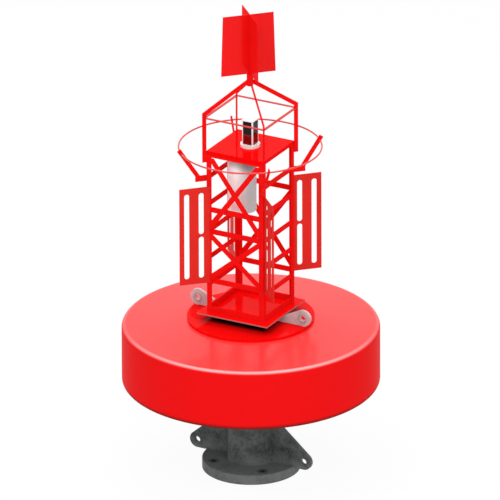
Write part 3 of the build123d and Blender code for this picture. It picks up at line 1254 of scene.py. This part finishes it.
@dataclass
class Fasteners:
    """Bolts under the clamp ring and small screws on the lantern's foot."""

    clamp_count: int = 12
    clamp_reach: float = 0.43
    clamp_bolt: HexBolt = HexBolt(across=0.030, head=0.0125, washer=0.0185, washer_thick=0.003)
    screw_count: int = 4
    screw_reach: float = 0.069
    screw: HexBolt = HexBolt(across=0.010, head=0.004, washer=0.007, washer_thick=0.001)

    def build(self) -> list[bpy.types.Object]:
        """Sets the clamp bolts head down and the lantern screws head up.

        Returns:
            The bolts and the screws.
        """
        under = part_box("clamp_ring")[0].z
        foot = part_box("lantern_base")[1].z
        bolt = self.clamp_bolt.shape().turned(facing((0.0, 0.0, -1.0))).moved(self.clamp_reach, 0.0, under)
        bolts = bolt.repeated(self.clamp_count, first=180.0 / self.clamp_count)
        screws = self.screw.shape().moved(self.screw_reach, 0.0, foot).repeated(self.screw_count)
        return [
            bolts.piece("clamp_bolts", Slot.LUG),
            screws.piece("lantern_screws", Slot.LANTERN),
        ]


@dataclass
class Dresser:
    """Gives solids and new pieces their finishes."""

    by_slot: dict[str, bpy.types.Material] = field(default_factory=dict)
    by_name: dict[str, bpy.types.Material] = field(default_factory=dict)

    def dress_solids(self) -> None:
        """Builds the finishes and gives each solid its own, or else its slot's."""
        self.by_slot = {slot.value: finish.build() for slot, finish in FINISHES.items()}
        self.by_name = {name: finish.build() for name, finish in NODE_FINISHES.items()}
        for row in frame["record"]["subparts"]:
            mesh = frame["nodes"][row["node"]].data
            mesh.materials.clear()
            mesh.materials.append(self.by_name.get(row["node"], self.by_slot[row["material_slot"]]))
            LOG.info("%s wears %s", row["node"], mesh.materials[0].name)

    def dress_piece(self, piece: bpy.types.Object) -> None:
        """Gives a new piece its own finish, or else its slot's."""
        piece.data.materials.append(self.by_name.get(piece.name, self.by_slot[piece["slot_name"]]))


@dataclass(frozen=True)
class Lamp:
    """A soft rectangular lamp."""

    name: str
    spot: tuple[float, float, float]
    size: tuple[float, float]
    power: float


@dataclass
class Studio:
    """Pale floor, soft lights, white background and the camera."""

    azimuth: float = 28.6
    elevation: float = 22.8
    roll: float = 0.2
    lens: float = 1200.0
    sensor: float = 36.0
    frame_width: float = 4.242
    far_end: float = 400.0
    target: tuple[float, float, float] = (0.0, 0.0, 1.992)
    shift: tuple[float, float] = (-0.0012, 0.0)
    ambient: float = 0.55
    floor_reach: float = 60.0
    floor_tone: float = 0.92
    floor_glow: float = 0.95
    lamps: tuple[Lamp, ...] = (
        Lamp("bank", (2.0, -11.0, 14.5), (20.0, 4.0), 1200.0),
        Lamp("fill", (13.0, -6.0, 7.0), (8.0, 8.0), 300.0),
        Lamp("top", (-2.0, 3.0, 15.0), (12.0, 12.0), 1200.0),
    )

    def build(self) -> None:
        """Makes the whole studio."""
        self.camera()
        self.lights()
        self.world()
        self.floor()

    def camera(self) -> None:
        """Puts the camera at the photograph's angle, far away with a long lens."""
        a, e = math.radians(self.azimuth), math.radians(self.elevation)
        back = Vector((math.sin(a) * math.cos(e), -math.cos(a) * math.cos(e), math.sin(e)))
        data = bpy.data.cameras.new("camera")
        data.lens = self.lens
        data.sensor_width = self.sensor
        data.clip_end = self.far_end
        data.shift_x, data.shift_y = self.shift
        eye = bpy.data.objects.new("camera", data)
        eye.location = Vector(self.target) + back * (self.frame_width * self.lens / self.sensor)
        eye.rotation_mode = "QUATERNION"
        tilt = Quaternion(back, -math.radians(self.roll))
        eye.rotation_quaternion = tilt @ (-back).to_track_quat("-Z", "Y")
        bpy.context.scene.collection.objects.link(eye)
        bpy.context.scene.camera = eye

    def lights(self) -> None:
        """Adds the soft lamps, each aimed at the middle of the buoy."""
        for lamp in self.lamps:
            data = bpy.data.lights.new(lamp.name, "AREA")
            data.shape = "RECTANGLE"
            data.size, data.size_y = lamp.size
            data.energy = lamp.power
            stand = bpy.data.objects.new(lamp.name, data)
            stand.location = lamp.spot
            aim = Vector(self.target) - Vector(lamp.spot)
            stand.rotation_mode = "QUATERNION"
            stand.rotation_quaternion = aim.to_track_quat("-Z", "Y")
            bpy.context.scene.collection.objects.link(stand)

    def seen(self, g: Graph) -> Socket:
        """1 where the camera, gloss or glass looks, 0 for the light that falls on things.

        Args:
            g: the graph that gets the nodes.

        Returns:
            The mask.
        """
        camera, gloss, glass = (
            g.node("ShaderNodeLightPath", output=f"Is {kind} Ray")
            for kind in ("Camera", "Glossy", "Transmission")
        )
        return g.math("MAXIMUM", g.math("MAXIMUM", camera, gloss), glass)

    def world(self) -> None:
        """White where the camera, gloss or glass sees it, and a soft grey light otherwise."""
        world = bpy.data.worlds.new("studio")
        bpy.context.scene.world = world
        g = Graph(world)
        strength = self.seen(g) * (1.0 - self.ambient) + self.ambient
        light = g.node("ShaderNodeBackground", {}, {"Color": WHITE, "Strength": strength})
        g.node("ShaderNodeOutputWorld", {}, {"Surface": light})

    def floor(self) -> None:
        """A pale floor at the buoy's lowest point that keeps part of its shadow."""
        level, r, tone = CAD_BOX[0].z, self.floor_reach, self.floor_tone
        corners = [(-r, -r, level), (r, -r, level), (r, r, level), (-r, r, level)]
        mesh = bpy.data.meshes.new("floor")
        mesh.from_pydata(corners, [], [(0, 1, 2, 3)])
        plane = bpy.data.objects.new("floor", mesh)
        bpy.context.scene.collection.objects.link(plane)
        material = bpy.data.materials.new("floor_white")
        g = Graph(material)
        lit = g.node("ShaderNodeBsdfDiffuse", {}, {"Color": (tone, tone, tone, 1.0)})
        glow = g.node("ShaderNodeEmission", {}, {"Color": WHITE, "Strength": 1.0})
        share = self.seen(g) * self.floor_glow
        mixed = g.node("ShaderNodeMixShader", {}, {0: share, 1: lit, 2: glow})
        g.node("ShaderNodeOutputMaterial", {}, {"Surface": mixed})
        mesh.materials.append(material)


def main() -> None:
    """Dresses the buoy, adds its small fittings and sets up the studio."""
    logging.basicConfig(level=logging.INFO, format="%(name)s: %(message)s")
    bpy.context.scene.view_settings.view_transform = "Standard"
    dresser = Dresser()
    dresser.dress_solids()
    fittings = (
        FloatShell(), GuardRing(), CanisterRims(), TowerWelds(), SteelWelds(), EyeCollars(), Fasteners(),
    )
    for fitting in fittings:
        for piece in fitting.build():
            dresser.dress_piece(piece)
    Studio().build()


if __name__ == "__main__":
    main()
